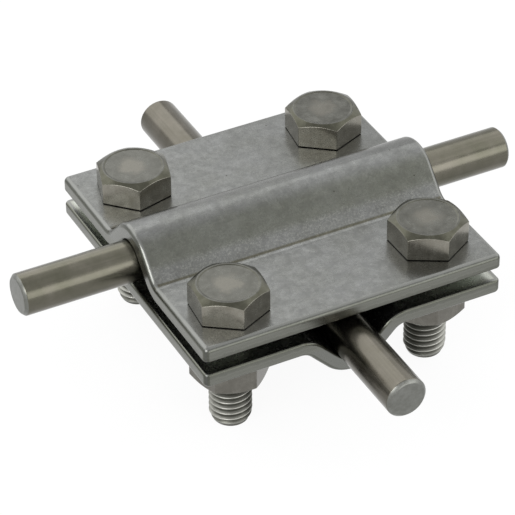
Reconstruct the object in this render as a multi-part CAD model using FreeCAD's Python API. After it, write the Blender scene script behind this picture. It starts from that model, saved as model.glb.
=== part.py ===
import FreeCAD
import Part

import math
import os

# Cross connector clamp: two pressed steel plates whose channels cross at right angles,
# two round conductors, and four hex bolts with nuts that draw the plates together.
#
# Frame: +X along the upper conductor, +Y along the lower conductor, +Z up. The origin is the
# centre of the bolt pattern, in the plane of the nuts' lower faces, where the bolts' free ends
# stand out.
# All sizes are in millimetres and all angles in degrees.

# Conductors
ROD_DIAMETER = 8.0          # round conductor, solid
ROD_LENGTH = 101.0
ROD_END_CHAMFER = 0.9
UPPER_ROD_SHIFT = 2.2       # the upper conductor reaches further out on the -X side
LOWER_ROD_SHIFT = 1.0       # the lower conductor reaches further out on the +Y side

# Pressed plates, both from the same tool
SHEET = 3.0                 # thickness of the sheet
JAW_GAP = 2.7               # clear space between the two flat plates when tightened
CHANNEL_EASE = 0.2          # crown radius of the channel over the radius of the conductor
CHANNEL_SHIFT = 0.3         # the channel is pressed this far off the middle of the plate
FLANK_ANGLE = 46.0          # slope of the channel's sides against the flat plate
FOOT_RADIUS = 3.0           # outside radius where the side runs out into the flat plate
CORNER_RADIUS = 1.1         # corners of the plate seen from above
EDGE_ROLL = 1.0             # edge drawn round by the blanking tool, on the outer side
EDGE_DEBURR = 0.5           # edge rounded by tumbling, on the inner side
HOLE_PLAY = 0.5             # radial room of the bolt in its punched hole
HOLE_EDGE_DISTANCE = 9.9    # from a hole's centre to the plate's edge
SPANNER_ROOM = 2.07         # from a head's corner to the foot of the channel, both centred

# Bolts and nuts, M8 hex
THREAD_DIAMETER = 8.0
THREAD_DEPTH = 0.7          # depth of thread that the tapered tip takes off
TIP_LENGTH = 1.5            # length of the tapered tip
BOLT_LENGTH = 25.0          # from the bearing face to the tip
ACROSS_FLATS = 13.0
HEAD_HEIGHT = 5.3
BEARING_RING_HEIGHT = 0.4   # raised round face under the head
NUT_HEIGHT = 6.5
HEX_CHAMFER_ANGLE = 30.0
FACE_SHARE = 0.9            # diameter of the flat round face, as a share of the flats
NUT_MOUTH_OVERSIZE = 0.75   # countersink at both ends of the nut's bore, on the diameter

# Clearances
SEAT_GAP = 0.05             # between curved faces that rest on each other
THREAD_PLAY = 0.05          # radial play between bolt and nut

# Where each fastener stopped when it was tightened: angle of one corner from +X
HEAD_ANGLES = {"front_left": 24.5, "front_right": 30.5, "back_left": 14.0, "back_right": 22.5}
NUT_ANGLES = {"front_left": 43.0, "front_right": 16.5, "back_left": 8.0, "back_right": 35.0}
# Direction in which each bolt drifted in its hole when it was tightened, from +X
DRIFT_ANGLES = {"front_left": 221.0, "front_right": 73.0, "back_left": 323.0, "back_right": 44.0}
CORNER_SIGNS = {
    "front_left": (-1, -1),
    "front_right": (1, -1),
    "back_left": (-1, 1),
    "back_right": (1, 1),
}

# Sizes that follow
ROD_RADIUS = ROD_DIAMETER / 2
AXIS_OFFSET = ROD_RADIUS + SEAT_GAP / 2         # conductor axis above or below the crossing
CROWN_INSIDE = AXIS_OFFSET + ROD_RADIUS + SEAT_GAP - JAW_GAP / 2
CROWN_RADIUS = ROD_RADIUS + CHANNEL_EASE
CORNER_REACH = ACROSS_FLATS / 2 / math.cos(math.radians(30))
HALF_GRIP = JAW_GAP / 2 + SHEET                 # from the crossing to a plate's outer face
CROSSING_Z = NUT_HEIGHT + HALF_GRIP
TIP_Z = CROSSING_Z + HALF_GRIP - BOLT_LENGTH
DRIFT = HOLE_PLAY - SEAT_GAP                    # how far a bolt stands off its hole's centre

ORIGIN = FreeCAD.Vector(0, 0, 0)
ALONG_X = FreeCAD.Vector(1, 0, 0)
ALONG_Z = FreeCAD.Vector(0, 0, 1)


def point(across, height):
    """A point of the plate's cross-section: across the channel, and above its inner face."""
    return FreeCAD.Vector(0, across, height)


def arc(centre, radius, start, end):
    """Circular edge of the cross-section between two angles, measured from the across axis."""
    ends = []
    for degrees in (start, (start + end) / 2, end):
        turn = math.radians(degrees)
        ends.append(centre + point(radius * math.cos(turn), radius * math.sin(turn)))
    return Part.Arc(*ends).toShape()


def channel_foot():
    """Distance from the channel's middle to where its outside foot meets the flat plate."""
    slope = math.radians(FLANK_ANGLE)
    crown_centre = CROWN_INSIDE - CROWN_RADIUS
    outer = CROWN_RADIUS + SHEET
    drop = crown_centre + outer * math.cos(slope) - SHEET - FOOT_RADIUS * (1 - math.cos(slope))
    flank = drop / math.sin(slope)
    return (outer + FOOT_RADIUS) * math.sin(slope) + flank * math.cos(slope)


FOOT = channel_foot()
BOLT_OFFSET = FOOT + CORNER_REACH + SPANNER_ROOM
HALF_SIDE = BOLT_OFFSET + HOLE_EDGE_DISTANCE


def surface_edges(lift):
    """One face of the sheet, from -across to +across, raised by lift from the inner face."""
    crown = point(CHANNEL_SHIFT, CROWN_INSIDE - CROWN_RADIUS)
    foot_height = SHEET + FOOT_RADIUS
    left = arc(point(CHANNEL_SHIFT - FOOT, foot_height), foot_height - lift, -90, -90 + FLANK_ANGLE)
    top = arc(crown, CROWN_RADIUS + lift, 90 + FLANK_ANGLE, 90 - FLANK_ANGLE)
    right = arc(point(CHANNEL_SHIFT + FOOT, foot_height), foot_height - lift, -90 - FLANK_ANGLE, -90)
    start, end = point(-HALF_SIDE, lift), point(HALF_SIDE, lift)
    stops = [start, left.Vertexes[0].Point, left.Vertexes[1].Point, top.Vertexes[0].Point,
             top.Vertexes[1].Point, right.Vertexes[0].Point, right.Vertexes[1].Point, end]
    lines = [Part.makeLine(stops[index], stops[index + 1]) for index in (0, 2, 4, 6)]
    return [lines[0], left, lines[1], top, lines[2], right, lines[3]]


def channelled_sheet():
    """The sheet with its channel pressed in along X, square and as wide as it is long."""
    sides = [Part.makeLine(point(side, 0), point(side, SHEET)) for side in (-HALF_SIDE, HALF_SIDE)]
    edges = surface_edges(0) + surface_edges(SHEET) + sides
    outline = Part.Wire(Part.__sortEdges__(edges))
    sheet = Part.Face(outline).extrude(ALONG_X * 2 * HALF_SIDE)
    sheet.translate(ALONG_X * -HALF_SIDE)
    return sheet


def rounded_square():
    """Upright block with the plate's outline from above, taller than the pressed channel."""
    height = CROWN_INSIDE + 2 * SHEET
    block = Part.makeBox(2 * HALF_SIDE, 2 * HALF_SIDE, height,
                         FreeCAD.Vector(-HALF_SIDE, -HALF_SIDE, -SHEET))
    upright = [edge for edge in block.Edges if edge.Vertexes[0].X == edge.Vertexes[1].X
               and edge.Vertexes[0].Y == edge.Vertexes[1].Y]
    return block.makeFillet(CORNER_RADIUS, upright)


def face_height(across, lift):
    """Height over the inner plane of the sheet's face at a lift, at a distance from its middle."""
    slope = math.radians(FLANK_ANGLE)
    centre, radius = CROWN_INSIDE - CROWN_RADIUS, CROWN_RADIUS + lift
    foot_height = SHEET + FOOT_RADIUS
    foot_radius = foot_height - lift
    off = abs(across - CHANNEL_SHIFT)
    if off <= radius * math.sin(slope):
        return centre + math.sqrt(radius ** 2 - off ** 2)
    if off <= FOOT - foot_radius * math.sin(slope):
        rim = centre + radius * math.cos(slope)
        return rim - (off - radius * math.sin(slope)) * math.tan(slope)
    if off <= FOOT:
        return foot_height - math.sqrt(foot_radius ** 2 - (FOOT - off) ** 2)
    return lift


def rim_edges(plate, lift):
    """Edges that run round the outline of the plate on its face at a lift."""
    inset = CORNER_RADIUS * (1 - math.sqrt(0.5)) + 0.01
    rim = []
    for edge in plate.Edges:
        middle = edge.valueAt((edge.FirstParameter + edge.LastParameter) / 2)
        at_side = max(abs(middle.x), abs(middle.y)) > HALF_SIDE - inset
        if at_side and abs(middle.z - face_height(middle.y, lift)) < 0.01:
            rim.append(edge)
    return rim


def pressed_plate():
    """One plate, channel up and along X, lying with its inner face on Z = 0."""
    plate = channelled_sheet().common(rounded_square())
    for across, along in CORNER_SIGNS.values():
        place = FreeCAD.Vector(across * BOLT_OFFSET, along * BOLT_OFFSET, -SHEET)
        plate = plate.cut(Part.makeCylinder(THREAD_DIAMETER / 2 + HOLE_PLAY, 3 * SHEET, place))
    plate = plate.Solids[0]
    plate = plate.makeFillet(EDGE_ROLL, rim_edges(plate, SHEET)).Solids[0]
    return plate.makeFillet(EDGE_DEBURR, rim_edges(plate, 0)).Solids[0]


def turned(profile):
    """Solid turned about Z from a list of (radius, height) points."""
    points = [FreeCAD.Vector(radius, 0, height) for radius, height in profile]
    return Part.Face(Part.makePolygon(points + points[:1])).revolve(ORIGIN, ALONG_Z, 360)


def hexagon_bar(height, angle):
    """Hexagonal bar of one spanner size, standing on Z = 0 with a corner at the given angle."""
    corners = []
    for step in range(7):
        turn = math.radians(angle + 60 * step)
        corners.append(FreeCAD.Vector(CORNER_REACH * math.cos(turn), CORNER_REACH * math.sin(turn), 0))
    return Part.Face(Part.makePolygon(corners)).extrude(ALONG_Z * height)


def hex_blank(height, angle, both_ends):
    """Hexagon with its corners turned off at the top, and at the bottom too for a nut."""
    face = FACE_SHARE * ACROSS_FLATS / 2
    reach = 2 * CORNER_REACH - ACROSS_FLATS / 2
    slant = (reach - face) * math.tan(math.radians(HEX_CHAMFER_ANGLE))
    foot = [(0, 0), (face, 0), (reach, slant)] if both_ends else [(0, 0), (reach, 0)]
    crown = [(reach, height - slant), (face, height), (0, height)]
    return hexagon_bar(height, angle).common(turned(foot + crown))


def bolt(angle):
    """Hex bolt threaded to the head, tip down on Z = 0, its last threads tapered."""
    radius = THREAD_DIAMETER / 2
    ring = FACE_SHARE * ACROSS_FLATS / 2
    ring_top = BOLT_LENGTH + BEARING_RING_HEIGHT
    stem = turned([(0, 0), (radius - THREAD_DEPTH, 0), (radius, TIP_LENGTH), (radius, BOLT_LENGTH),
                   (ring, BOLT_LENGTH), (ring, ring_top), (0, ring_top)])
    head = hex_blank(HEAD_HEIGHT - BEARING_RING_HEIGHT, angle, both_ends=False)
    head.translate(ALONG_Z * ring_top)
    return stem.fuse(head).removeSplitter()


def nut(angle):
    """Hex nut standing on Z = 0, chamfered and countersunk at both ends."""
    bore = THREAD_DIAMETER / 2 + THREAD_PLAY
    mouth = (THREAD_DIAMETER + NUT_MOUTH_OVERSIZE) / 2
    sink = mouth - bore
    hollow = turned([(0, 0), (mouth, 0), (bore, sink), (bore, NUT_HEIGHT - sink), (mouth, NUT_HEIGHT),
                     (0, NUT_HEIGHT)])
    return hex_blank(NUT_HEIGHT, angle, both_ends=True).cut(hollow)


def conductor():
    """Round conductor standing on Z = 0, its ends chamfered where it was cut off."""
    face = ROD_RADIUS - ROD_END_CHAMFER
    return turned([(0, 0), (face, 0), (ROD_RADIUS, ROD_END_CHAMFER),
                   (ROD_RADIUS, ROD_LENGTH - ROD_END_CHAMFER), (face, ROD_LENGTH), (0, ROD_LENGTH)])


def upper_plate():
    """Plate on top: channel up, along X."""
    plate = pressed_plate()
    plate.translate(ALONG_Z * (CROSSING_Z + JAW_GAP / 2))
    return plate


def lower_plate():
    """The same plate turned over and a quarter turn round: channel down, along Y."""
    plate = pressed_plate()
    plate.rotate(ORIGIN, ALONG_X, 180)
    plate.rotate(ORIGIN, ALONG_Z, -90)
    plate.translate(ALONG_Z * (CROSSING_Z - JAW_GAP / 2))
    return plate


def upper_conductor():
    """Conductor in the upper channel, along X."""
    rod = conductor()
    rod.rotate(ORIGIN, FreeCAD.Vector(0, 1, 0), 90)
    left = -ROD_LENGTH / 2 - UPPER_ROD_SHIFT
    rod.translate(FreeCAD.Vector(left, CHANNEL_SHIFT, CROSSING_Z + AXIS_OFFSET))
    return rod


def lower_conductor():
    """Conductor in the lower channel, along Y."""
    rod = conductor()
    rod.rotate(ORIGIN, ALONG_X, -90)
    front = -ROD_LENGTH / 2 + LOWER_ROD_SHIFT
    rod.translate(FreeCAD.Vector(-CHANNEL_SHIFT, front, CROSSING_Z - AXIS_OFFSET))
    return rod


def placed(shape, corner, height):
    """Moves a fastener to where it stands in its corner hole."""
    across, along = CORNER_SIGNS[corner]
    turn = math.radians(DRIFT_ANGLES[corner])
    shape.translate(FreeCAD.Vector(across * BOLT_OFFSET + DRIFT * math.cos(turn),
                                   along * BOLT_OFFSET + DRIFT * math.sin(turn), height))
    return shape


def all_pieces():
    """Every separate piece of the clamp by its node name."""
    pieces = {
        "upper_plate": upper_plate(),
        "lower_plate": lower_plate(),
        "upper_conductor": upper_conductor(),
        "lower_conductor": lower_conductor(),
    }
    for corner in CORNER_SIGNS:
        pieces[corner + "_bolt"] = placed(bolt(HEAD_ANGLES[corner]), corner, TIP_Z)
        pieces[corner + "_nut"] = placed(nut(NUT_ANGLES[corner]), corner, 0)
    return pieces


os.makedirs("parts", exist_ok=True)
for name, shape in all_pieces().items():
    shape.exportStep("parts/" + name + ".step")
    print(name, round(shape.Volume, 1), "mm3", len(shape.Solids), "solid")
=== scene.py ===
"""Looks of the cross connector clamp: two pressed plates, two round conductors, four hex bolts."""

import logging
import math
from collections.abc import Callable, Sequence
from dataclasses import dataclass
from enum import Enum

import bmesh
import bpy
from mathutils import Matrix, Vector


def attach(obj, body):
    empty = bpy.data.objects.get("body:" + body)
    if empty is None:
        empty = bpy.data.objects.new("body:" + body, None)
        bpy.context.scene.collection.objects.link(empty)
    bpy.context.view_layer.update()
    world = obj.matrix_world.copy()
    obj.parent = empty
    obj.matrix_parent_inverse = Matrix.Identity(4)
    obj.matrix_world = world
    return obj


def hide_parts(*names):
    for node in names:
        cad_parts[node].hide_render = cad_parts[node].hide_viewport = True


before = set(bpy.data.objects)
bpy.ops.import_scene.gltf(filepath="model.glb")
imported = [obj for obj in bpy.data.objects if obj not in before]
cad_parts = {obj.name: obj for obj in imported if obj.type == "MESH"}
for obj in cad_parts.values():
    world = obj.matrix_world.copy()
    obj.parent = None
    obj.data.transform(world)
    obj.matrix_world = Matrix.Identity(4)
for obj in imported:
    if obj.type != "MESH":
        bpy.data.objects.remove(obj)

MM = 0.001
REPORT = logging.getLogger("clamp")
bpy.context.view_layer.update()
PIECE_WELD = 0.5e-6
THREAD_WELD = 2e-6
SMOOTH_DEGREES = 38.0
NOISE_SPAN = (0.3, 0.7)
NOISE_STOPS = (0.3, 0.5, 0.7)

Ring = Callable[[float], tuple[float, float]]
Colour = tuple[float, float, float, float]
Place = tuple[float, float, float]
Shades = tuple[str, str, str]
Band = tuple[float, float, float, float]


def linear(code: str) -> Colour:
    """Turns an sRGB hex colour into Blender's linear one.

    Args:
        code: colour as #rrggbb.

    Returns:
        Red, green, blue and an alpha of 1.
    """
    parts = [int(code[start:start + 2], 16) / 255 for start in (1, 3, 5)]
    red, green, blue = (p / 12.92 if p <= 0.04045 else ((p + 0.055) / 1.055) ** 2.4 for p in parts)
    return red, green, blue, 1.0


def add_node(tree: bpy.types.NodeTree, kind: str, inputs: dict | None = None,
             stops: Sequence[tuple[float, str]] = (), **settings: object) -> bpy.types.Node:
    """Adds one node with its settings and links.

    Args:
        tree: node tree of a material or the world.
        kind: Blender's name of the node type.
        inputs: value or linked output socket for each input, by its name or number.
        stops: places and hex colours of a colour ramp.
        settings: the node's own properties.

    Returns:
        The new node.
    """
    node = tree.nodes.new(kind)
    for name, value in settings.items():
        setattr(node, name, value)
    for place, shade in stops:
        ramp = node.color_ramp.elements
        stop = ramp.new(place) if (place, shade) not in (stops[0], stops[-1]) else None
        stop = stop or ramp[0 if (place, shade) == stops[0] else len(ramp) - 1]
        stop.position, stop.color = place, linear(shade)
    for socket, value in (inputs or {}).items():
        if isinstance(value, bpy.types.NodeSocket):
            tree.links.new(value, node.inputs[socket])
        else:
            node.inputs[socket].default_value = value
    return node


class Axis(Enum):
    """Direction in which a channel and its conductor run."""

    X = 0
    Y = 1


class Side(Enum):
    """Which way a plate's channel bulges."""

    UP = 1
    DOWN = -1


# ---------------------------------------------------------------------------------------------
# Finishes


@dataclass(frozen=True)
class Finish:
    """A metal surface: what every finish of the clamp has in common."""

    name: str
    slot: str

    def start(self) -> tuple[bpy.types.Material, bpy.types.NodeTree, bpy.types.NodeSocket]:
        """Opens an empty material.

        Returns:
            The material, its node tree and its object coordinates.
        """
        material = bpy.data.materials.new(self.name)
        material.use_nodes = True
        tree = material.node_tree
        tree.nodes.clear()
        return material, tree, add_node(tree, "ShaderNodeTexCoord").outputs["Object"]

    def close(self, tree: bpy.types.NodeTree, colour: bpy.types.NodeSocket,
              roughness: bpy.types.NodeSocket, normal: bpy.types.NodeSocket) -> None:
        """Ends a material in a metal shader; a metal keeps the shader's default IOR.

        Args:
            tree: the material's node tree.
            colour: base colour.
            roughness: roughness.
            normal: bumped normal.
        """
        metal = add_node(tree, "ShaderNodeBsdfPrincipled", {
            "Base Color": colour, "Roughness": roughness, "Normal": normal, "Metallic": 1.0})
        add_node(tree, "ShaderNodeOutputMaterial", {"Surface": metal.outputs["BSDF"]})

    def shade(self, tree: bpy.types.NodeTree,
              parts: Sequence[tuple[bpy.types.Node, float, float]],
              span: tuple[float, float] = NOISE_SPAN) -> bpy.types.NodeSocket:
        """Multiplies patterns, each brought to a new range.

        Args:
            tree: the material's node tree.
            parts: each pattern node with what its low and its high value become.
            span: the low and the high value.

        Returns:
            The product of the patterns.
        """
        product = None
        for pattern, first, last in parts:
            mapped = add_node(tree, "ShaderNodeMapRange", {
                "Value": pattern.outputs["Fac"], "From Min": span[0], "From Max": span[1],
                "To Min": first, "To Max": last}).outputs["Result"]
            product = mapped if product is None else add_node(
                tree, "ShaderNodeMath", {0: product, 1: mapped}, operation="MULTIPLY").outputs[0]
        return product

    def window(self, tree: bpy.types.NodeTree, value: bpy.types.NodeSocket,
               band: Band) -> bpy.types.NodeSocket:
        """Picks out a band of a value, with soft sides.

        Args:
            tree: the material's node tree.
            value: what is measured.
            band: where the band begins, where it is full, where it fades and where it is gone.

        Returns:
            1 in the band and 0 outside it.
        """
        start, full, fade, end = band
        rise, fall = (add_node(tree, "ShaderNodeMapRange", {
            "Value": value, "From Min": low, "From Max": high}, interpolation_type="SMOOTHSTEP")
            for low, high in ((start, full), (end, fade)))
        both = add_node(tree, "ShaderNodeMath", {
            0: rise.outputs["Result"], 1: fall.outputs["Result"]}, operation="MULTIPLY")
        return both.outputs[0]


@dataclass(frozen=True)
class PickledSheet(Finish):
    """Cold-rolled stainless sheet, pickled: a satin grey, finely mottled, with small dark pits.

    The channel's sides were drawn over the tool, which leaves them greener; their darker tone is
    partly that and partly painted shade. Faint bright points at their feet are painted glints, and
    a dark line in the crease at each foot is painted shade. The blanked edge has a smooth band and
    a rougher one with a ragged line between.
    Bands over the channel are measured from its middle, and those of the rim inwards from the
    plate's side.
    """

    run: Axis
    bulge: Side
    inner_face: float
    half_side: float = 30.3 * MM
    thickness: float = 3.0 * MM
    channel_middle: float = 0.3 * MM

    # The real grain is about 0.05 mm and is drawn coarser, so that it shows.
    cloud_size: float = 8.333 * MM
    mottle_size: float = 1.923 * MM
    grain_size: float = 0.3846 * MM
    base_shades: Shades = ("#666764", "#6a6b69", "#6f706f")

    # Each pit is 0.2 mm wide.
    pit_spacing: float = 2.381 * MM
    pit_shade: str = "#3b3b36"
    pit_share: float = 0.2

    # Greener, darker channel sides: partly drawing marks, partly painted shade.
    flank_band: Band = (2.0 * MM, 4.5 * MM, 6.8 * MM, 8.2 * MM)
    flank_tint: str = "#e6e7de"
    # Painted glints: faint bright points at the feet of the channel's sides.
    torn_band: Band = (6.2 * MM, 7.8 * MM, 10.3 * MM, 10.7 * MM)
    torn_size: float = 0.2174 * MM
    torn_shade: str = "#b6b6ae"
    # Painted shade: a dark line in the crease at each foot of the channel.
    crease_band: Band = (9.42 * MM, 9.82 * MM, 10.02 * MM, 10.32 * MM)
    crease_tint: str = "#c4c0b0"

    # The inner face is painted lighter, more so deeper in: painted light in the shaded gap between
    # the plates.
    deep_from: float = 0.8 * MM
    deep_to: float = 2.4 * MM
    inner_shade: str = "#82837c"
    deep_shade: str = "#b9bdb5"
    # Painted light: a set, lighter tone over the rolled fillet, which evens out its reflections.
    bend_band: Band = (0.3 * MM, 0.5 * MM, 0.75 * MM, 1.0 * MM)
    bend_shade: str = "#747572"
    # Painted shade: a darker line over the rolled edge's bright highlight.
    roll_band: Band = (0.01 * MM, 0.05 * MM, 0.25 * MM, 0.45 * MM)
    roll_tint: str = "#cfd0ca"
    edge_from: float = 0.3 * MM
    edge_to: float = 0.06 * MM
    ragged_size: float = 1.25 * MM
    edge_stops: tuple[tuple[float, str], ...] = (
        (0.0, "#65665f"), (0.3, "#6b6c66"), (0.38, "#767771"), (0.48, "#70716b"),
        (0.7, "#757670"), (1.0, "#767773"))

    def material(self) -> bpy.types.Material:
        """Builds the finish.

        Returns:
            The material for one plate.
        """
        material, tree, place = self.start()
        cloud, mottle, grain = (add_node(tree, "ShaderNodeTexNoise", {
            "Vector": place, "Scale": 1 / size, "Detail": detail, "Roughness": rough})
            for size, detail, rough in ((self.cloud_size, 4.0, 0.6), (self.mottle_size, 5.0, 0.65),
                                        (self.grain_size, 2.0, 0.6)))
        base = add_node(tree, "ShaderNodeValToRGB", {"Fac": cloud.outputs["Fac"]},
                        stops=list(zip(NOISE_STOPS, self.base_shades)))
        mottled = add_node(tree, "ShaderNodeMix", {
            0: 1.0, 6: base.outputs["Color"],
            7: self.shade(tree, [(mottle, 0.82, 1.16), (grain, 0.9, 1.1)])},
            data_type="RGBA", blend_type="MULTIPLY")
        pitted = add_node(tree, "ShaderNodeMix", {
            0: self.pits(tree, place), 6: mottled.outputs[2], 7: linear(self.pit_shade)},
            data_type="RGBA")
        pressed = self.pressed(tree, place, pitted.outputs[2])
        rimmed = self.rimmed(tree, place, pressed)
        height = add_node(tree, "ShaderNodeMath", {
            0: mottle.outputs["Fac"], 1: grain.outputs["Fac"]}, operation="ADD")
        bump = add_node(tree, "ShaderNodeBump", {
            "Height": height.outputs[0], "Strength": 0.08, "Distance": 0.05 * MM})
        self.close(tree, rimmed, self.shade(tree, [(mottle, 0.31, 0.24)]), bump.outputs["Normal"])
        return material

    def pits(self, tree: bpy.types.NodeTree, place: bpy.types.NodeSocket) -> bpy.types.NodeSocket:
        """Scatters small dark pits some millimetres apart.

        Args:
            tree: the material's node tree.
            place: object coordinates.

        Returns:
            1 in a pit and 0 elsewhere.
        """
        cells = add_node(tree, "ShaderNodeTexVoronoi", {
            "Vector": place, "Scale": 1 / self.pit_spacing})
        spot = add_node(tree, "ShaderNodeMapRange", {
            "Value": cells.outputs["Distance"], "From Min": 0.07, "From Max": 0.045})
        parts = add_node(tree, "ShaderNodeSeparateColor", {"Color": cells.outputs["Color"]})
        rare = add_node(tree, "ShaderNodeMath", {0: parts.outputs[0], 1: 1 - self.pit_share},
                        operation="GREATER_THAN")
        pit = add_node(tree, "ShaderNodeMath", {
            0: spot.outputs["Result"], 1: rare.outputs[0]}, operation="MULTIPLY")
        return pit.outputs[0]

    def pressed(self, tree: bpy.types.NodeTree, place: bpy.types.NodeSocket,
                skin: bpy.types.NodeSocket) -> bpy.types.NodeSocket:
        """Marks the channel: greener, darker flanks, partly from drawing and partly painted shade;
        faint painted glints at their feet; and a dark line of painted shade in the crease.

        Args:
            tree: the material's node tree.
            place: object coordinates.
            skin: colour of the sheet before it was pressed.

        Returns:
            The colour with the channel's marks.
        """
        off = self.off_middle(tree, place)
        # Greener, darker sides: partly drawing marks, partly painted shade.
        drawn = add_node(tree, "ShaderNodeMix", {
            0: self.window(tree, off, self.flank_band), 6: skin, 7: linear(self.flank_tint)},
            data_type="RGBA", blend_type="MULTIPLY")
        # Painted glints at the feet of the sides.
        torn = add_node(tree, "ShaderNodeMix", {
            0: self.points(tree, place, self.window(tree, off, self.torn_band)),
            6: drawn.outputs[2], 7: linear(self.torn_shade)}, data_type="RGBA")
        # Painted shade: a dark line in the crease.
        creased = add_node(tree, "ShaderNodeMix", {
            0: self.window(tree, off, self.crease_band), 6: torn.outputs[2],
            7: linear(self.crease_tint)}, data_type="RGBA", blend_type="MULTIPLY")
        return creased.outputs[2]

    def points(self, tree: bpy.types.NodeTree, place: bpy.types.NodeSocket,
               where: bpy.types.NodeSocket) -> bpy.types.NodeSocket:
        """Scatters faint bright points at the feet of the channel's sides: painted glints.

        Args:
            tree: the material's node tree.
            place: object coordinates.
            where: share of the surface that has them.

        Returns:
            How bright each point is, and 0 between them.
        """
        cells = add_node(tree, "ShaderNodeTexVoronoi", {
            "Vector": place, "Scale": 1 / self.torn_size})
        parts = add_node(tree, "ShaderNodeSeparateColor", {"Color": cells.outputs["Color"]})
        bright = add_node(tree, "ShaderNodeMapRange", {
            "Value": parts.outputs[0], "From Min": 0.6, "From Max": 1.0, "To Max": 0.17})
        point = add_node(tree, "ShaderNodeMath", {0: bright.outputs["Result"], 1: where},
                         operation="MULTIPLY")
        return point.outputs[0]

    def off_middle(self, tree: bpy.types.NodeTree,
                   place: bpy.types.NodeSocket) -> bpy.types.NodeSocket:
        """Measures the distance from the channel's middle.

        Args:
            tree: the material's node tree.
            place: object coordinates.

        Returns:
            The distance in metres.
        """
        split = add_node(tree, "ShaderNodeSeparateXYZ", {"Vector": place})
        across = add_node(tree, "ShaderNodeMath", {
            0: split.outputs["YX"[self.run.value]],
            1: self.channel_middle * self.bulge.value}, operation="SUBTRACT")
        off = add_node(tree, "ShaderNodeMath", {0: across.outputs[0]}, operation="ABSOLUTE")
        return off.outputs[0]

    def rimmed(self, tree: bpy.types.NodeTree, place: bpy.types.NodeSocket,
               skin: bpy.types.NodeSocket) -> bpy.types.NodeSocket:
        """Colours the inner face, painted lighter to lift the shade in the gap, and the rolled,
        blanked rim, with painted light over the fillet and painted shade over its highlight line.

        Args:
            tree: the material's node tree.
            place: object coordinates.
            skin: colour of the outer face.

        Returns:
            The whole plate's colour.
        """
        inset = self.way_in(tree, place)
        # Painted light in the gap: the inner face lighter, more so deeper in.
        deep = add_node(tree, "ShaderNodeMapRange", {
            "Value": inset, "From Min": self.deep_from, "From Max": self.deep_to})
        inner = add_node(tree, "ShaderNodeMix", {
            0: deep.outputs["Result"], 6: linear(self.inner_shade), 7: linear(self.deep_shade)},
            data_type="RGBA")
        lined = add_node(tree, "ShaderNodeMix", {
            0: self.inner_mask(tree, place), 6: skin, 7: inner.outputs[2]}, data_type="RGBA")
        # Painted light over the rolled fillet.
        bent = add_node(tree, "ShaderNodeMix", {
            0: self.window(tree, inset, self.bend_band), 6: lined.outputs[2],
            7: linear(self.bend_shade)}, data_type="RGBA")
        edge = add_node(tree, "ShaderNodeMapRange", {
            "Value": inset, "From Min": self.edge_from, "From Max": self.edge_to})
        blanked = add_node(tree, "ShaderNodeMix", {
            0: edge.outputs["Result"], 6: bent.outputs[2],
            7: self.blanked_edge(tree, place)}, data_type="RGBA")
        # Painted shade over the rolled edge's highlight line.
        rolled = add_node(tree, "ShaderNodeMix", {
            0: self.window(tree, inset, self.roll_band), 6: blanked.outputs[2],
            7: linear(self.roll_tint)}, data_type="RGBA", blend_type="MULTIPLY")
        return rolled.outputs[2]

    def way_in(self, tree: bpy.types.NodeTree,
               place: bpy.types.NodeSocket) -> bpy.types.NodeSocket:
        """Measures how far in from the nearest side of the plate a point lies.

        Args:
            tree: the material's node tree.
            place: object coordinates.

        Returns:
            The distance in metres.
        """
        split = add_node(tree, "ShaderNodeSeparateXYZ", {"Vector": place})
        across, along = (add_node(tree, "ShaderNodeMath", {0: split.outputs[name]},
                                  operation="ABSOLUTE") for name in "XY")
        reach = add_node(tree, "ShaderNodeMath", {
            0: across.outputs[0], 1: along.outputs[0]}, operation="MAXIMUM")
        inset = add_node(tree, "ShaderNodeMath", {0: self.half_side, 1: reach.outputs[0]},
                         operation="SUBTRACT")
        return inset.outputs[0]

    def inner_mask(self, tree: bpy.types.NodeTree,
                   place: bpy.types.NodeSocket) -> bpy.types.NodeSocket:
        """Finds the inner face, which lay on the tool; it is painted lighter, as painted light in
        the gap.

        Args:
            tree: the material's node tree.
            place: object coordinates.

        Returns:
            1 on the inner face and 0 elsewhere.
        """
        split = add_node(tree, "ShaderNodeSeparateXYZ", {"Vector": place})
        depth = add_node(tree, "ShaderNodeMath", {0: split.outputs["Z"], 1: self.inner_face},
                         operation="SUBTRACT")
        apart = add_node(tree, "ShaderNodeMath", {0: depth.outputs[0]}, operation="ABSOLUTE")
        mask = add_node(tree, "ShaderNodeMapRange", {
            "Value": apart.outputs[0], "From Min": 0.2 * MM, "From Max": 0.05 * MM})
        return mask.outputs["Result"]

    def blanked_edge(self, tree: bpy.types.NodeTree,
                     place: bpy.types.NodeSocket) -> bpy.types.NodeSocket:
        """Colours the blanked edge by its depth from the inner face, where the tool broke out.

        Args:
            tree: the material's node tree.
            place: object coordinates.

        Returns:
            The edge's colour.
        """
        split = add_node(tree, "ShaderNodeSeparateXYZ", {"Vector": place})
        depth = add_node(tree, "ShaderNodeMapRange", {
            "Value": split.outputs["Z"], "From Min": self.inner_face,
            "From Max": self.inner_face + self.bulge.value * self.thickness})
        ragged = add_node(tree, "ShaderNodeTexNoise", {
            "Vector": place, "Scale": 1 / self.ragged_size, "Detail": 4.0, "Roughness": 0.7})
        wander = self.shade(tree, [(ragged, -0.2, 0.2)], span=(0.0, 1.0))
        level = add_node(tree, "ShaderNodeMath", {0: depth.outputs["Result"], 1: wander},
                         operation="ADD")
        ramp = add_node(tree, "ShaderNodeValToRGB", {"Fac": level.outputs[0]},
                        stops=self.edge_stops)
        return ramp.outputs["Color"]


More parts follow.
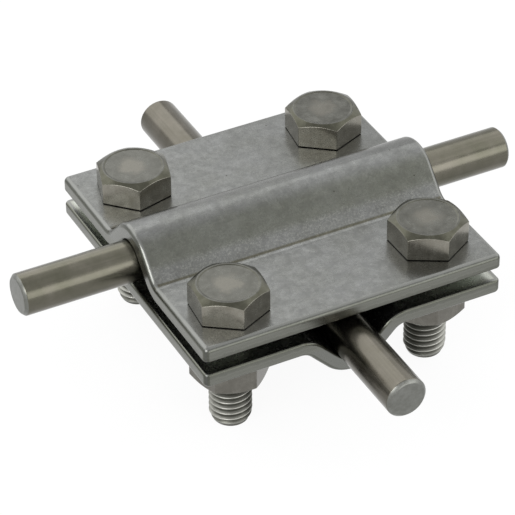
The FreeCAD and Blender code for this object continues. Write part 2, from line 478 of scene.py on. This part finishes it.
@dataclass(frozen=True)
class DrawnBar(Finish):
    """Cold-drawn stainless bar: bright, with faint lengthwise die lines, and dull, turned ends."""

    run: Axis
    middle: Place
    half_length: float
    shades: Shades

    # Real die lines and tool rings are about 0.05 mm apart and are drawn coarser, so that
    # they show. A die line is 50 times as long as it is wide.
    line_size: float = 0.6667 * MM
    line_stretch: float = 0.02
    haze_size: float = 3.846 * MM
    ring_size: float = 0.1923 * MM
    saw_size: float = 1.111 * MM
    end_shades: tuple[str, str] = ("#6a6b66", "#7c7d79")
    end_roughness: float = 0.34
    end_from: float = 0.62 * MM
    end_to: float = 0.5 * MM

    def material(self) -> bpy.types.Material:
        """Builds the finish.

        Returns:
            The material for one conductor.
        """
        material, tree, place = self.start()
        lengthwise, crosswise = (
            (share, 1, 1) if self.run is Axis.X else (1, share, 1)
            for share in (self.line_stretch, 0))
        drawn = add_node(tree, "ShaderNodeMapping", {"Vector": place, "Scale": lengthwise})
        lines, haze, saw = (add_node(tree, "ShaderNodeTexNoise", {
            "Vector": where, "Scale": 1 / size, "Detail": detail, "Roughness": rough})
            for where, size, detail, rough in (
                (drawn.outputs["Vector"], self.line_size, 3.0, 0.7),
                (place, self.haze_size, 4.0, 0.6), (place, self.saw_size, 4.0, 0.65)))
        ramp = add_node(tree, "ShaderNodeValToRGB", {"Fac": haze.outputs["Fac"]},
                        stops=list(zip(NOISE_STOPS, self.shades)))
        streaked = add_node(tree, "ShaderNodeMix", {
            0: 1.0, 6: ramp.outputs["Color"], 7: self.shade(tree, [(lines, 0.9, 1.1)])},
            data_type="RGBA", blend_type="MULTIPLY")
        centred = add_node(tree, "ShaderNodeVectorMath", {0: place, 1: self.middle},
                           operation="SUBTRACT")
        split = add_node(tree, "ShaderNodeSeparateXYZ", {"Vector": centred.outputs[0]})
        reach = add_node(tree, "ShaderNodeMath", {0: split.outputs[self.run.value]},
                         operation="ABSOLUTE")
        end = add_node(tree, "ShaderNodeMapRange", {
            "Value": reach.outputs[0], "From Min": self.half_length - self.end_from,
            "From Max": self.half_length - self.end_to})
        flat = add_node(tree, "ShaderNodeMapping", {
            "Vector": centred.outputs[0], "Scale": crosswise})
        rings = add_node(tree, "ShaderNodeVectorMath", {0: flat.outputs["Vector"]},
                         operation="LENGTH")
        turned = add_node(tree, "ShaderNodeTexNoise", {
            "W": rings.outputs["Value"], "Scale": 1 / self.ring_size, "Detail": 2.0},
            noise_dimensions="1D")
        face = add_node(tree, "ShaderNodeValToRGB", {"Fac": saw.outputs["Fac"]},
                        stops=list(zip(NOISE_SPAN, self.end_shades)))
        ended = add_node(tree, "ShaderNodeMix", {
            0: end.outputs["Result"], 6: streaked.outputs[2], 7: face.outputs["Color"]},
            data_type="RGBA")
        rough = add_node(tree, "ShaderNodeMix", {
            "Factor": end.outputs["Result"], "A": self.shade(tree, [(haze, 0.2, 0.27)]),
            "B": self.end_roughness})
        height = add_node(tree, "ShaderNodeMix", {
            "Factor": end.outputs["Result"], "A": lines.outputs["Fac"],
            "B": turned.outputs["Fac"]})
        bump = add_node(tree, "ShaderNodeBump", {
            "Height": height.outputs[0], "Strength": 0.25, "Distance": 0.03 * MM})
        self.close(tree, ended.outputs[2], rough.outputs[0], bump.outputs["Normal"])
        return material


@dataclass(frozen=True)
class HexSteel(Finish):
    """Stainless hex fastener: trimmed sides with fine upright lines, painted lighter, and ends and
    chamfers painted darker, by which way each face looks: painted light and shade.

    A head's top has a worn, paler middle. The rolled thread is satin, with a painted highlight
    on its crests and painted shade in its roots.
    """

    middle: Place
    # Sides are painted lighter and ends darker by which way each face looks: lit and shaded copies
    # of one steel, as painted light and shade.
    side_shades: Shades
    end_shades: Shades = ("#4a4a45", "#555550", "#60605b")

    # Real trimming lines are about 0.1 mm apart and are drawn coarser, so that they show.
    cloud_size: float = 2.083 * MM
    grain_size: float = 0.4167 * MM
    trim_size: float = 0.5263 * MM
    trim_stretch: float = 0.05

    # Painted shade on the chamfers, picked by which way they face.
    chamfer_band: Band = (0.72, 0.8, 0.9, 0.97)
    chamfer_tint: str = "#ebeadc"
    head_foot: float = 15.2 * MM
    disc: float = 3.1 * MM
    disc_fade: float = 1.6 * MM
    disc_wander: float = 1.2 * MM
    disc_shade: str = "#6a6861"
    shank: float = 4.02 * MM
    # Painted highlight on the thread's crests and painted shade in its roots, by distance from the
    # middle.
    thread_from: float = 3.5 * MM
    thread_to: float = 3.95 * MM
    thread_root: str = "#5e5e58"
    thread_crest: str = "#9a9a94"
    thread_roughness: float = 0.38

    def material(self) -> bpy.types.Material:
        """Builds the finish.

        Returns:
            The material for one bolt or nut.
        """
        material, tree, place = self.start()
        cloud = add_node(tree, "ShaderNodeTexNoise", {
            "Vector": place, "Scale": 1 / self.cloud_size, "Detail": 5.0, "Roughness": 0.65})
        grain = add_node(tree, "ShaderNodeTexNoise", {
            "Vector": place, "Scale": 1 / self.grain_size, "Detail": 2.0})
        centred = add_node(tree, "ShaderNodeVectorMath", {0: place, 1: self.middle},
                           operation="SUBTRACT")
        flat = add_node(tree, "ShaderNodeMapping", {
            "Vector": centred.outputs[0], "Scale": (1, 1, 0)})
        reach = add_node(tree, "ShaderNodeVectorMath", {0: flat.outputs["Vector"]},
                         operation="LENGTH").outputs["Value"]
        split = add_node(tree, "ShaderNodeSeparateXYZ", {"Vector": place})
        above, below = (add_node(tree, "ShaderNodeMath", {
            0: split.outputs["Z"], 1: self.head_foot}, operation=test).outputs[0]
            for test in ("GREATER_THAN", "LESS_THAN"))
        inside = add_node(tree, "ShaderNodeMath", {0: reach, 1: self.shank},
                          operation="LESS_THAN")
        threaded = add_node(tree, "ShaderNodeMath", {0: inside.outputs[0], 1: below},
                            operation="MULTIPLY").outputs[0]
        topped = self.topped(tree, self.forged(tree, place, cloud), cloud, reach, above)
        # Painted highlight on the crests, painted shade in the roots.
        rise = add_node(tree, "ShaderNodeMapRange", {
            "Value": reach, "From Min": self.thread_from, "From Max": self.thread_to})
        thread = add_node(tree, "ShaderNodeMix", {
            0: rise.outputs["Result"], 6: linear(self.thread_root), 7: linear(self.thread_crest)},
            data_type="RGBA")
        colour = add_node(tree, "ShaderNodeMix", {
            0: threaded, 6: topped, 7: thread.outputs[2]}, data_type="RGBA")
        rough = add_node(tree, "ShaderNodeMix", {
            "Factor": threaded, "A": self.shade(tree, [(cloud, 0.2, 0.3)]),
            "B": self.thread_roughness})
        bump = add_node(tree, "ShaderNodeBump", {
            "Height": grain.outputs["Fac"], "Strength": 0.12, "Distance": 0.04 * MM})
        self.close(tree, colour.outputs[2], rough.outputs[0], bump.outputs["Normal"])
        return material

    def forged(self, tree: bpy.types.NodeTree, place: bpy.types.NodeSocket,
               cloud: bpy.types.Node) -> bpy.types.NodeSocket:
        """Colours the upright sides lighter and the level ends and the chamfers between them
        darker,
        by which way each face looks: painted light and shade.

        Args:
            tree: the material's node tree.
            place: object coordinates.
            cloud: the finish's soft pattern.

        Returns:
            The hexagon's colour.
        """
        upright = add_node(tree, "ShaderNodeMapping", {
            "Vector": place, "Scale": (1, 1, self.trim_stretch)})
        trim = add_node(tree, "ShaderNodeTexNoise", {
            "Vector": upright.outputs["Vector"], "Scale": 1 / self.trim_size, "Detail": 2.0})
        ends, sides = (add_node(tree, "ShaderNodeValToRGB", {"Fac": cloud.outputs["Fac"]},
                                stops=list(zip(NOISE_STOPS, shades)))
                       for shades in (self.end_shades, self.side_shades))
        lined = add_node(tree, "ShaderNodeMix", {
            0: 1.0, 6: sides.outputs["Color"], 7: self.shade(tree, [(trim, 0.95, 1.05)])},
            data_type="RGBA", blend_type="MULTIPLY")
        # Painted light and shade: the colour is picked by which way each face looks.
        facing = add_node(tree, "ShaderNodeNewGeometry")
        lean = add_node(tree, "ShaderNodeSeparateXYZ", {"Vector": facing.outputs["Normal"]})
        steep = add_node(tree, "ShaderNodeMath", {0: lean.outputs["Z"]}, operation="ABSOLUTE")
        level = add_node(tree, "ShaderNodeMapRange", {
            "Value": steep.outputs[0], "From Min": 0.4, "From Max": 0.8})
        forged = add_node(tree, "ShaderNodeMix", {
            0: level.outputs["Result"], 6: lined.outputs[2], 7: ends.outputs["Color"]},
            data_type="RGBA")
        # Painted shade on the chamfers.
        scaled = add_node(tree, "ShaderNodeMix", {
            0: self.window(tree, steep.outputs[0], self.chamfer_band), 6: forged.outputs[2],
            7: linear(self.chamfer_tint)}, data_type="RGBA", blend_type="MULTIPLY")
        return scaled.outputs[2]

    def topped(self, tree: bpy.types.NodeTree, skin: bpy.types.NodeSocket, cloud: bpy.types.Node,
               reach: bpy.types.NodeSocket, above: bpy.types.NodeSocket) -> bpy.types.NodeSocket:
        """Wears a paler, ragged disc into the middle of a head's top.

        Args:
            tree: the material's node tree.
            skin: colour of the hexagon.
            cloud: the finish's soft pattern.
            reach: distance from the fastener's middle.
            above: 1 on the head and 0 below it.

        Returns:
            The colour with the disc.
        """
        wander = self.shade(tree, [(cloud, -self.disc_wander, self.disc_wander)])
        ragged = add_node(tree, "ShaderNodeMath", {0: reach, 1: wander}, operation="ADD")
        worn = add_node(tree, "ShaderNodeMapRange", {
            "Value": ragged.outputs[0], "From Min": self.disc,
            "From Max": self.disc - self.disc_fade, "To Max": 0.75})
        disc = add_node(tree, "ShaderNodeMath", {0: worn.outputs["Result"], 1: above},
                        operation="MULTIPLY")
        topped = add_node(tree, "ShaderNodeMix", {
            0: disc.outputs[0], 6: skin, 7: linear(self.disc_shade)}, data_type="RGBA")
        return topped.outputs[2]


# ---------------------------------------------------------------------------------------------
# Shapes


def circle_ring(radius: float, height: float) -> Ring:
    """A round ring of one radius at one height."""
    return lambda turn: (radius, height)


def grow_rings(bm: bmesh.types.BMesh, rings: Sequence[Ring], segments: int) -> list[list]:
    """Extrudes a circle from ring to ring into an open skin round Z.

    Args:
        bm: mesh that takes the skin.
        rings: for each ring, a function from the angle to radius and height.
        segments: points in a ring.

    Returns:
        The edges of the first and of the last ring.
    """
    made = bmesh.ops.create_circle(bm, segments=segments, radius=1.0, cap_ends=False)
    corners = made["verts"]
    edges = list({edge for corner in corners for edge in corner.link_edges})
    place_ring(corners, rings[0])
    first = edges
    for ring in rings[1:]:
        grown = bmesh.ops.extrude_edge_only(bm, edges=edges)["geom"]
        corners = [part for part in grown if isinstance(part, bmesh.types.BMVert)]
        kept = set(corners)
        edges = [part for part in grown if isinstance(part, bmesh.types.BMEdge)
                 and set(part.verts) <= kept]
        place_ring(corners, ring)
    return [first, edges]


def place_ring(corners: Sequence[bmesh.types.BMVert], ring: Ring) -> None:
    """Moves the points of a ring to its radius and height, each on its own angle.

    Args:
        corners: points of the ring.
        ring: function from the angle to radius and height.
    """
    for corner in corners:
        turn = math.atan2(corner.co.y, corner.co.x)
        radius, height = ring(turn)
        corner.co = Vector((radius * math.cos(turn), radius * math.sin(turn), height))


def sharp_edges(bm: bmesh.types.BMesh, degrees: float) -> list:
    """Edges between two faces that meet at more than an angle."""
    return [edge for edge in bm.edges
            if edge.is_manifold and edge.calc_face_angle() > math.radians(degrees)]


def round_edges(bm: bmesh.types.BMesh, edges: list, width: float) -> None:
    """Rounds edges with a bevel of two steps."""
    bmesh.ops.bevel(bm, geom=edges, offset=width, offset_type="OFFSET", segments=2, profile=0.5,
                    affect="EDGES", material=-1, clamp_overlap=True)


def finished_piece(bm: bmesh.types.BMesh, name: str, material: bpy.types.Material,
                   body: str, node: str) -> None:
    """Makes a mesh a piece of the clamp that rides on its body and stands for its CAD node.

    Args:
        bm: the finished mesh, in place; it is freed here.
        name: the piece's name.
        material: its material.
        body: the body it rides on.
        node: the CAD node it replaces.
    """
    bmesh.ops.remove_doubles(bm, verts=bm.verts[:], dist=PIECE_WELD)
    bmesh.ops.recalc_face_normals(bm, faces=bm.faces[:])
    mesh = bpy.data.meshes.new(name)
    bm.to_mesh(mesh)
    bm.free()
    mesh.polygons.foreach_set("use_smooth", [True] * len(mesh.polygons))
    mesh.set_sharp_from_angle(angle=math.radians(SMOOTH_DEGREES))
    mesh.materials.append(material)
    piece = bpy.data.objects.new(name, mesh)
    bpy.context.scene.collection.objects.link(piece)
    flat = piece.modifiers.new("flat_faces", "WEIGHTED_NORMAL")
    flat.keep_sharp = True
    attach(piece, body)
    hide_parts(node)
    REPORT.info("%s: %d faces, rides on %s", name, len(mesh.polygons), body)


@dataclass
class Conductors:
    """The two round bars that the clamp joins."""

    radius: float = 4.0 * MM
    length: float = 101.0 * MM
    chamfer: float = 0.6 * MM
    edge: float = 0.12 * MM
    sharp_degrees: float = 20.0
    segments: int = 128
    upper_middle: Place = (-2.2 * MM, 0.3 * MM, 14.875 * MM)
    lower_middle: Place = (-0.3 * MM, 1.0 * MM, 6.825 * MM)
    upper_shades: Shades = ("#5a594e", "#615f55", "#68655c")
    lower_shades: Shades = ("#5b584f", "#615e56", "#68645c")

    def build(self) -> None:
        """Builds and dresses both bars."""
        self.bar("upper_conductor", Axis.X, self.upper_middle, self.upper_shades)
        self.bar("lower_conductor", Axis.Y, self.lower_middle, self.lower_shades)

    def bar(self, node: str, run: Axis, middle: Place, shades: Shades) -> None:
        """Builds one bar.

        Args:
            node: the CAD node it replaces.
            run: its direction.
            middle: its middle point.
            shades: its colours from dark to light, since the two bars differ a little.
        """
        half, face = self.length / 2, self.radius - self.chamfer
        finish = DrawnBar(node + "_drawn_steel", "conductor_steel", run, middle, half, shades)
        bm = bmesh.new()
        grow_rings(bm, [circle_ring(face, -half), circle_ring(self.radius, self.chamfer - half),
                        circle_ring(self.radius, half - self.chamfer), circle_ring(face, half)],
                   self.segments)
        bmesh.ops.holes_fill(bm, edges=bm.edges[:], sides=0)
        round_edges(bm, sharp_edges(bm, self.sharp_degrees), self.edge)
        turn = Matrix.Rotation(math.pi / 2, 4, "Y" if run is Axis.X else "X")
        bmesh.ops.transform(bm, matrix=Matrix.Translation(middle) @ turn, verts=bm.verts[:])
        finished_piece(bm, node + "_bar", finish.material(), "lower_jaw", node)


@dataclass(frozen=True)
class Fastener:
    """Where one bolt and its nut stand, and how far each was turned."""

    corner: str
    across: float
    along: float
    head_turn: float
    nut_turn: float


@dataclass
class Fasteners:
    """Four M8 hex bolts with their nuts."""

    apothem: float = 6.5 * MM
    round_face: float = 5.85 * MM
    chamfer_degrees: float = 30.0
    head_foot: float = 15.2 * MM
    head_height: float = 5.3 * MM
    bearing_ring: float = 0.15 * MM
    dish: float = 0.11 * MM
    dish_rim: float = 0.3 * MM
    dish_floor: float = 0.5 * MM
    nut_height: float = 6.5 * MM
    nut_bore: float = 4.05 * MM
    nut_mouth: float = 4.375 * MM
    tip: float = -9.8 * MM
    tip_length: float = 1.5 * MM
    tip_taper: float = 0.7 * MM
    pitch: float = 1.25 * MM
    crest: float = 4.0 * MM
    root: float = 3.28 * MM
    edge: float = 0.14 * MM
    sharp_degrees: float = 24.0
    segments: int = 96
    thread_steps: int = 64
    # The sides' colours of bolts and nuts, painted lighter than the ends as painted light.
    bolt_shades: Shades = ("#7a776d", "#86837a", "#918f86")
    nut_shades: Shades = ("#62605a", "#6b6963", "#74726c")

    # Share of the thread's depth at each share of its pitch, from root to root.
    profile: tuple[tuple[float, float], ...] = (
        (0.0, 0.0), (0.03, 0.09), (0.12, 0.13), (0.86, 0.40), (0.97, 0.45), (1.0, 0.5),
        (0.97, 0.55), (0.86, 0.60), (0.12, 0.87), (0.03, 0.91), (0.0, 1.0))
    places: tuple[Fastener, ...] = (
        Fastener("front_left", -20.740 * MM, -20.695 * MM, 24.5, 43.0),
        Fastener("front_right", 20.532 * MM, -19.970 * MM, 30.5, 16.5),
        Fastener("back_left", -20.041 * MM, 20.129 * MM, 14.0, 8.0),
        Fastener("back_right", 20.724 * MM, 20.713 * MM, 22.5, 35.0))

    def build(self) -> None:
        """Builds and dresses every bolt and nut."""
        thread = self.thread()
        for place in self.places:
            middle = (place.across, place.along, 0.0)
            self.bolt(place, HexSteel(place.corner + "_forged_bolt_steel", "fastener_steel",
                                      middle, self.bolt_shades), thread)
            self.nut(place, HexSteel(place.corner + "_turned_nut_steel", "fastener_steel",
                                     middle, self.nut_shades))
        bpy.data.meshes.remove(thread)

    def hexagon(self, turn: float) -> float:
        """Distance from the middle to the hexagon's side at an angle, with a corner at 0."""
        sixth = math.pi / 3
        return self.apothem / math.cos(turn % sixth - sixth / 2)

    def side_ring(self, height: float, chamfered: int) -> Ring:
        """Ring on the hexagon, at the foot of its chamfer or level.

        Args:
            height: level of the round face.
            chamfered: 1 where the chamfer drops below that level, -1 where it rises, 0 for none.

        Returns:
            The ring.
        """
        slope = math.tan(math.radians(self.chamfer_degrees)) * chamfered
        return lambda turn: (self.hexagon(turn),
                             height - slope * (self.hexagon(turn) - self.round_face))

    def stand(self, bm: bmesh.types.BMesh, place: Fastener, degrees: float) -> None:
        """Turns a fastener to its angle and puts it in its hole."""
        turn = Matrix.Rotation(math.radians(degrees), 4, "Z")
        spot = Matrix.Translation((place.across, place.along, 0))
        bmesh.ops.transform(bm, matrix=spot @ turn, verts=bm.verts[:])

    def bolt(self, place: Fastener, finish: HexSteel, thread: bpy.types.Mesh) -> None:
        """Builds one bolt: a forged head with a round bearing face, and its rolled thread.

        Args:
            place: where it stands.
            finish: its finish.
            thread: the rolled thread, upright on the bolt's middle.
        """
        top = self.head_foot + self.head_height
        under = self.head_foot + self.bearing_ring
        bm = bmesh.new()
        grow_rings(bm, [
            circle_ring(self.round_face - self.dish_floor, top - self.dish),
            circle_ring(self.round_face - self.dish_rim, top),
            circle_ring(self.round_face, top),
            self.side_ring(top, 1),
            self.side_ring(under, 0),
            circle_ring(self.round_face, under),
            circle_ring(self.round_face, self.head_foot),
            circle_ring(self.root, self.head_foot)], self.segments)
        bmesh.ops.holes_fill(bm, edges=bm.edges[:], sides=0)
        round_edges(bm, sharp_edges(bm, self.sharp_degrees), self.edge)
        bm.from_mesh(thread)
        self.stand(bm, place, place.head_turn)
        finished_piece(bm, place.corner + "_hex_bolt", finish.material(), "upper_jaw",
                       place.corner + "_bolt")

    def thread(self) -> bpy.types.Mesh:
        """Makes the rolled thread, cut off flat at the tip, where a cone takes its crests off.

        Returns:
            A mesh with the whole thread, upright on the bolt's middle.
        """
        pitch, depth = self.pitch, self.crest - self.root
        start = self.tip - 1.5 * pitch
        bm = bmesh.new()
        chain = [bm.verts.new((self.root + rise * depth, 0, start + share * pitch))
                 for rise, share in self.profile]
        line = [bm.edges.new(pair) for pair in zip(chain, chain[1:])]
        bmesh.ops.spin(bm, geom=chain + line, cent=(0, 0, 0), axis=(0, 0, 1),
                       dvec=(0, 0, pitch / self.thread_steps), angle=math.tau,
                       steps=self.thread_steps, use_merge=False)
        turn = bm.verts[:] + bm.edges[:] + bm.faces[:]
        for count in range(1, math.ceil((self.head_foot - start) / pitch) + 1):
            copied = bmesh.ops.duplicate(bm, geom=turn)["geom"]
            corners = [part for part in copied if isinstance(part, bmesh.types.BMVert)]
            bmesh.ops.translate(bm, verts=corners, vec=(0, 0, count * pitch))
        bmesh.ops.remove_doubles(bm, verts=bm.verts[:], dist=THREAD_WELD)
        for level, side in ((self.tip, -1), (self.head_foot + 0.1 * MM, 1)):
            cut = bmesh.ops.bisect_plane(bm, geom=bm.verts[:] + bm.edges[:] + bm.faces[:],
                                         plane_co=(0, 0, level), plane_no=(0, 0, side),
                                         clear_outer=True)
            rim = [part for part in cut["geom_cut"] if isinstance(part, bmesh.types.BMEdge)]
            bmesh.ops.contextual_create(bm, geom=rim)
        for vert in bm.verts:
            radius = math.hypot(vert.co.x, vert.co.y)
            cone = self.crest - self.tip_taper * (1 - (vert.co.z - self.tip) / self.tip_length)
            if radius > cone:
                vert.co.x, vert.co.y = vert.co.x * cone / radius, vert.co.y * cone / radius
        mesh = bpy.data.meshes.new("rolled_thread")
        bm.to_mesh(mesh)
        bm.free()
        return mesh

    def nut(self, place: Fastener, finish: HexSteel) -> None:
        """Builds one nut, chamfered at both ends, with its countersunk bore.

        Args:
            place: where it stands.
            finish: its finish.
        """
        sink = self.nut_mouth - self.nut_bore
        bm = bmesh.new()
        first, last = grow_rings(bm, [
            circle_ring(self.nut_bore, sink),
            circle_ring(self.nut_mouth, 0.0),
            circle_ring(self.round_face, 0.0),
            self.side_ring(0.0, -1),
            self.side_ring(self.nut_height, 1),
            circle_ring(self.round_face, self.nut_height),
            circle_ring(self.nut_mouth, self.nut_height),
            circle_ring(self.nut_bore, self.nut_height - sink)], self.segments)
        bmesh.ops.bridge_loops(bm, edges=first + last)
        round_edges(bm, sharp_edges(bm, self.sharp_degrees), self.edge)
        self.stand(bm, place, place.nut_turn)
        node = place.corner + "_nut"
        finished_piece(bm, place.corner + "_hex_nut", finish.material(), node, node)


@dataclass
class Plates:
    """The two pressed plates, whose CAD nodes stay and get their finish."""

    upper_inner_face: float = 12.2 * MM
    lower_inner_face: float = 9.5 * MM

    def build(self) -> None:
        """Dresses both plates."""
        upper = PickledSheet("upper_plate_pickled_steel", "plate_steel", Axis.X, Side.UP,
                             self.upper_inner_face)
        lower = PickledSheet("lower_plate_pickled_steel", "plate_steel", Axis.Y, Side.DOWN,
                             self.lower_inner_face)
        for node, finish in (("upper_plate", upper), ("lower_plate", lower)):
            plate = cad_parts[node]
            material = finish.material()
            if not plate.material_slots:
                plate.data.materials.append(material)
            for slot in plate.material_slots:
                slot.material = material
            REPORT.info("%s: %d faces, CAD node dressed", node, len(plate.data.polygons))


# ---------------------------------------------------------------------------------------------
# Stage


@dataclass(frozen=True)
class SoftBox:
    """One soft lamp.

    Its bearing goes round Z from +X and its rise is measured from the horizon, both in degrees.
    Its level says how bright its face is, where white paper in full light is 1.
    """

    name: str
    bearing: float
    rise: float
    wide: float
    tall: float
    level: float


@dataclass
class Studio:
    """Camera, floor, world and lamps: wide ones behind, a low one in front, a strong one left."""

    azimuth: float = 27.003
    elevation: float = 36.593
    roll: float = -0.579
    distance: float = 533.4 * MM
    focal_pixels: float = 2854.0
    frame_pixels: float = 515.0
    sensor_width: float = 36.0
    target: Place = (0.0, 0.0, 10.85 * MM)
    slide_right: float = -3.837 * MM
    slide_up: float = -4.507 * MM
    floor_level: float = -9.8 * MM
    floor_gap: float = 0.02 * MM
    floor_half: float = 4.0
    floor_shade: str = "#f4f4f4"
    floor_white: float = 0.93
    lamp_distance: float = 1.25
    boxes: tuple[SoftBox, ...] = (
        SoftBox("back_box", 109.5, 39.0, 1.9, 1.1, 1.24),
        SoftBox("right_box", 7.5, 40.0, 1.9, 1.25, 0.82),
        SoftBox("front_box", -66.0, 20.0, 1.7, 0.7, 1.8),
        SoftBox("left_box", -151.0, 34.0, 0.8, 0.6, 4.8))

    def build(self) -> None:
        """Sets up the whole stage."""
        self.camera()
        self.floor()
        self.world()
        for box in self.boxes:
            self.lamp(box)

    def camera(self) -> None:
        """Stands the camera at the photograph's viewpoint."""
        turn, rise, tip = (math.radians(v) for v in (self.azimuth, self.elevation, self.roll))
        level = Vector((math.cos(turn), -math.sin(turn), 0))
        ahead = Vector((math.sin(turn) * math.cos(rise), math.cos(turn) * math.cos(rise),
                        -math.sin(rise)))
        upright = level.cross(ahead)
        right = level * math.cos(tip) + upright * math.sin(tip)
        up = upright * math.cos(tip) - level * math.sin(tip)
        spot = Vector(self.target) - ahead * self.distance
        spot += right * self.slide_right + up * self.slide_up
        lens = bpy.data.cameras.new("photo_camera")
        lens.sensor_width = self.sensor_width
        lens.lens = self.focal_pixels / self.frame_pixels * lens.sensor_width
        lens.clip_start, lens.clip_end = 0.01, 20.0
        camera = bpy.data.objects.new("photo_camera", lens)
        camera.matrix_world = Matrix.Translation(spot) @ Matrix(
            (right, up, -ahead)).transposed().to_4x4()
        bpy.context.scene.collection.objects.link(camera)
        bpy.context.scene.camera = camera

    def seen(self, tree: bpy.types.NodeTree) -> bpy.types.NodeSocket:
        """Tells the rays that see a thing from those that it lights.

        Args:
            tree: node tree of a material or the world.

        Returns:
            1 for camera, glossy and transmission rays and 0 for others.
        """
        ray = add_node(tree, "ShaderNodeLightPath")
        seen = add_node(tree, "ShaderNodeMath", {
            0: ray.outputs["Is Camera Ray"], 1: ray.outputs["Is Glossy Ray"]}, operation="ADD")
        seen = add_node(tree, "ShaderNodeMath", {
            0: seen.outputs[0], 1: ray.outputs["Is Transmission Ray"]}, operation="ADD")
        return seen.outputs[0]

    def floor(self) -> None:
        """Lays the pale floor that the bolts stand on."""
        bm = bmesh.new()
        bmesh.ops.create_grid(bm, x_segments=1, y_segments=1, size=self.floor_half)
        mesh = bpy.data.meshes.new("floor")
        bm.to_mesh(mesh)
        bm.free()
        mesh.transform(Matrix.Translation((0, 0, self.floor_level - self.floor_gap)))
        floor = bpy.data.objects.new("floor", mesh)
        bpy.context.scene.collection.objects.link(floor)
        material = bpy.data.materials.new("white_paper_floor")
        material.use_nodes = True
        tree = material.node_tree
        tree.nodes.clear()
        share = add_node(tree, "ShaderNodeMath", {0: self.seen(tree), 1: self.floor_white},
                         operation="MULTIPLY")
        paper = add_node(tree, "ShaderNodeBsdfDiffuse", {"Color": linear(self.floor_shade)})
        glow = add_node(tree, "ShaderNodeEmission", {"Color": (1, 1, 1, 1), "Strength": 1.0})
        mix = add_node(tree, "ShaderNodeMixShader", {
            0: share.outputs[0], 1: paper.outputs[0], 2: glow.outputs[0]})
        add_node(tree, "ShaderNodeOutputMaterial", {"Surface": mix.outputs[0]})
        mesh.materials.append(material)

    def world(self) -> None:
        """Lights the world white for what is seen, softly for what is lit."""
        world = bpy.data.worlds.new("white_studio")
        bpy.context.scene.world = world
        world.use_nodes = True
        tree = world.node_tree
        tree.nodes.clear()
        strength = add_node(tree, "ShaderNodeMapRange", {
            "Value": self.seen(tree), "To Min": 0.8, "To Max": 1.0})
        glow = add_node(tree, "ShaderNodeBackground", {
            "Color": (1, 1, 1, 1), "Strength": strength.outputs["Result"]})
        add_node(tree, "ShaderNodeOutputWorld", {"Surface": glow.outputs[0]})

    def lamp(self, box: SoftBox) -> None:
        """Hangs one soft box that faces the clamp."""
        light = bpy.data.lights.new(box.name, "AREA")
        light.shape, light.size, light.size_y = "RECTANGLE", box.wide, box.tall
        light.energy = box.level * math.pi * box.wide * box.tall
        turn, lift = math.radians(box.bearing), math.radians(box.rise)
        ray = Vector((math.cos(turn) * math.cos(lift), math.sin(turn) * math.cos(lift),
                      math.sin(lift)))
        lamp = bpy.data.objects.new(box.name, light)
        lamp.location = Vector(self.target) + ray * self.lamp_distance
        lamp.rotation_euler = ray.to_track_quat("Z", "Y").to_euler()
        lamp.visible_camera = False
        bpy.context.scene.collection.objects.link(lamp)


def main() -> None:
    """Builds the clamp's looks in order, with the stage first."""
    logging.basicConfig(level=logging.INFO, format="%(name)s %(message)s")
    bpy.context.scene.view_settings.view_transform = "Standard"
    for group in (Studio(), Plates(), Conductors(), Fasteners()):
        group.build()


if __name__ == "__main__":
    main()
